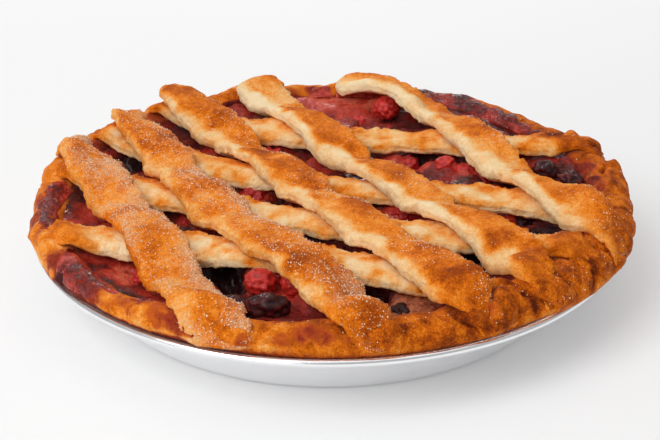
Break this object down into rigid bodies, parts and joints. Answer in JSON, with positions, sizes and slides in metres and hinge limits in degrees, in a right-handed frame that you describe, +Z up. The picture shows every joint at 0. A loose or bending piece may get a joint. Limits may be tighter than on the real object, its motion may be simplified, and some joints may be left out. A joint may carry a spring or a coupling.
{
  "type": "lattice-topped fruit pie in a foil tin",
  "caption": "Round baked fruit pie with an uneven pastry rim, a crossed lattice of pastry strips over a berry filling, and a shallow aluminium pie tin.",
  "frame": {"origin": "centre of the tin's flat base, on the surface it stands on", "axes": "+Z up out of the pie, +Y towards the back of the pie, +X to its right as it faces the viewer"},
  "size_m": [0.2359, 0.2321, 0.0542],
  "materials": {
    "tin": "smooth bright rolled foil with a soft sheen",
    "crust": "baked pastry, golden to dark brown, rough and sugared, juice-stained at the rim",
    "filling": "glossy deep red cooked fruit and jam",
    "strip_lower": "pale baked pastry, stained brown-red along its lower edges",
    "strip_upper": "baked pastry, golden brown on its raised parts, cream on its sides, with coarse sugar",
    "berry_red": "wet red berry",
    "berry_dark": "wet purple-black berry"
  },
  "bodies": {
    "root": {"tin": "tin", "crust": "crust", "filling": "filling", "strip_lower_1": "strip_lower", "strip_lower_2": "strip_lower", "strip_lower_3": "strip_lower", "strip_lower_4": "strip_lower", "strip_upper_1": "strip_upper", "strip_upper_2": "strip_upper", "strip_upper_3": "strip_upper", "strip_upper_4": "strip_upper", "strip_upper_5": "strip_upper", "berry_red_1": "berry_red", "berry_red_2": "berry_red", "berry_red_3": "berry_red", "berry_dark_1": "berry_dark", "berry_dark_2": "berry_dark", "berry_dark_3": "berry_dark"}
  },
  "joints": []
}
